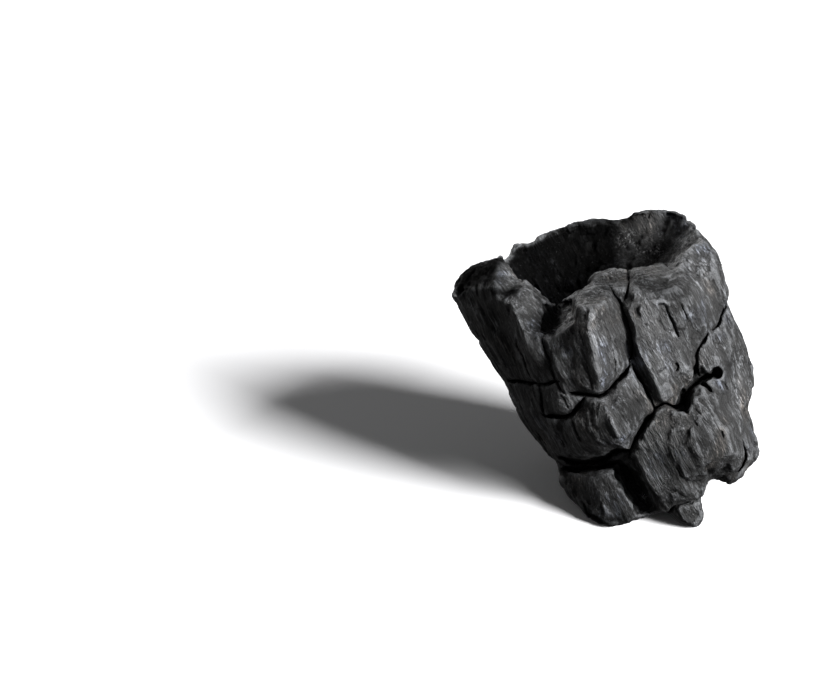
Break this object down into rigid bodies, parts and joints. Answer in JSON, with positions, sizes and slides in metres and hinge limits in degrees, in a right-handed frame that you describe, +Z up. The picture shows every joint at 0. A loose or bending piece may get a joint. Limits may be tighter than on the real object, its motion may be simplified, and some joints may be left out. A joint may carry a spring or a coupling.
{
  "type": "charcoal lump",
  "caption": "Lump of hardwood charcoal with a blocky cracked surface, leaning grain and a burnt-out hollow at the top, standing on its rough lower end.",
  "frame": {"origin": "middle of the bounding box in X and Y, at the level of the surface the lump stands on", "axes": "+Z up, +X along the longest side of the box, to the right of the checked, blocky front, which faces -Y"},
  "size_m": [0.0888, 0.072, 0.0775],
  "materials": {
    "charcoal": "matt dark grey char with a dull graphite sheen along the grain, blue-grey on fresh faces"
  },
  "bodies": {
    "root": {"charcoal_lump": "charcoal"}
  },
  "joints": []
}
